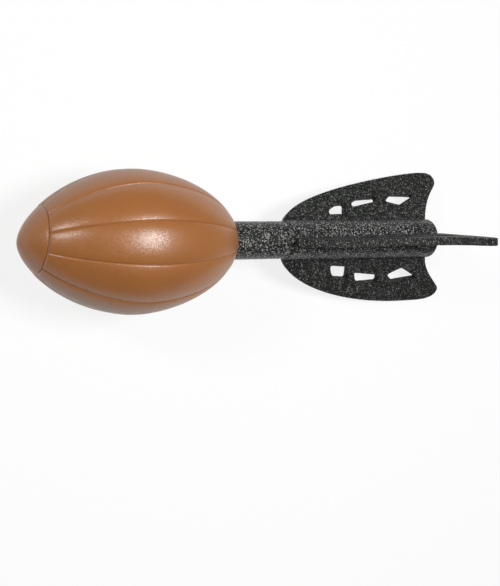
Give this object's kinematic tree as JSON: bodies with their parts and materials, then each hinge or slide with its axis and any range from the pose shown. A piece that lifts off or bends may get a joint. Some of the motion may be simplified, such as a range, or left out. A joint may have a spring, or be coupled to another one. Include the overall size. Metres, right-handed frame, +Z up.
{
  "type": "vortex throwing toy",
  "caption": "Foam throwing dart: a panelled football-shaped head on a straight tail with cut-out fins, lying at rest on its belly and lower fin tips.",
  "frame": {"origin": "on the floor, under the middle of the toy's bounding box, as it lies on its belly and two lower fin tips", "axes": "+Z up; +X from the nose towards the tail, level with the floor; the toy's own axis slopes 3.9 degrees down towards the tail; +Y completes the right-handed set"},
  "size_m": [0.3326, 0.0922, 0.09],
  "materials": {
    "brown_foam_skin": "satin moulded skin",
    "black_tail_foam": "matt, coarse speckled grain",
    "black_fin_foam": "matt, fine speckled grain",
    "core_plastic": "plain moulded"
  },
  "bodies": {
    "root": {"head": "brown_foam_skin", "nose_cap": "brown_foam_skin", "core_tube": "core_plastic", "anchor_flange": "core_plastic", "front_tube_plug": "core_plastic", "rear_tube_plug": "core_plastic", "tail_shaft": "black_tail_foam", "fin_hub": "black_tail_foam", "top_fin": "black_fin_foam", "left_fin": "black_fin_foam", "right_fin": "black_fin_foam"}
  },
  "joints": []
}
